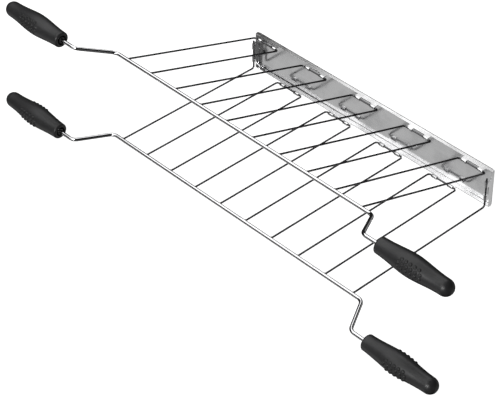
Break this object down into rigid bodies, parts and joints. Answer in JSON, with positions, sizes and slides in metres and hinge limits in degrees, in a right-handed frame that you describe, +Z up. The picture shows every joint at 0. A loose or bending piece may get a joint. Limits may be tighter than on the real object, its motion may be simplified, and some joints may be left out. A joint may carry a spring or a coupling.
{
  "type": "toast rack",
  "caption": "Hinged wire toast rack: two wire racks with cranked rods and grips, joined at the back by a folded sheet bracket in which the upper rack swings.",
  "frame": {"origin": "bottom centre of the bounding box, on the surface that the rack stands on", "axes": "+X to the right along the rods, +Y from the grips towards the bracket, +Z up; the rack stands on its two lower grips and the bracket's back fold, so its lower plane rises towards the grips by about 2 degrees"},
  "size_m": [0.636, 0.2578, 0.1361],
  "materials": {
    "sheet": "polished stainless sheet",
    "rod": "bright chrome plate",
    "wire": "plated wire",
    "grip": "fine satin moulded plastic"
  },
  "bodies": {
    "lower_rack": {"hinge_bracket": "sheet", "lower_rod": "rod", "lower_u_wire_1": "wire", "lower_u_wire_2": "wire", "lower_u_wire_3": "wire", "lower_u_wire_4": "wire", "lower_end_wire_left": "wire", "lower_end_wire_right": "wire", "lower_left_grip": "grip", "lower_right_grip": "grip"},
    "upper_rack": {"upper_rod": "rod", "upper_u_wire_1": "wire", "upper_u_wire_2": "wire", "upper_u_wire_3": "wire", "upper_u_wire_4": "wire", "upper_u_wire_5": "wire", "upper_left_grip": "grip", "upper_right_grip": "grip"}
  },
  "joints": [
    {"name": "upper_rack_hinge", "type": "hinge", "parent": "lower_rack", "child": "upper_rack", "pos_m": [0, 0.11857, 0.04416], "axis": [-1, 0, 0], "range_deg": [-22.2, 128]}
  ]
}
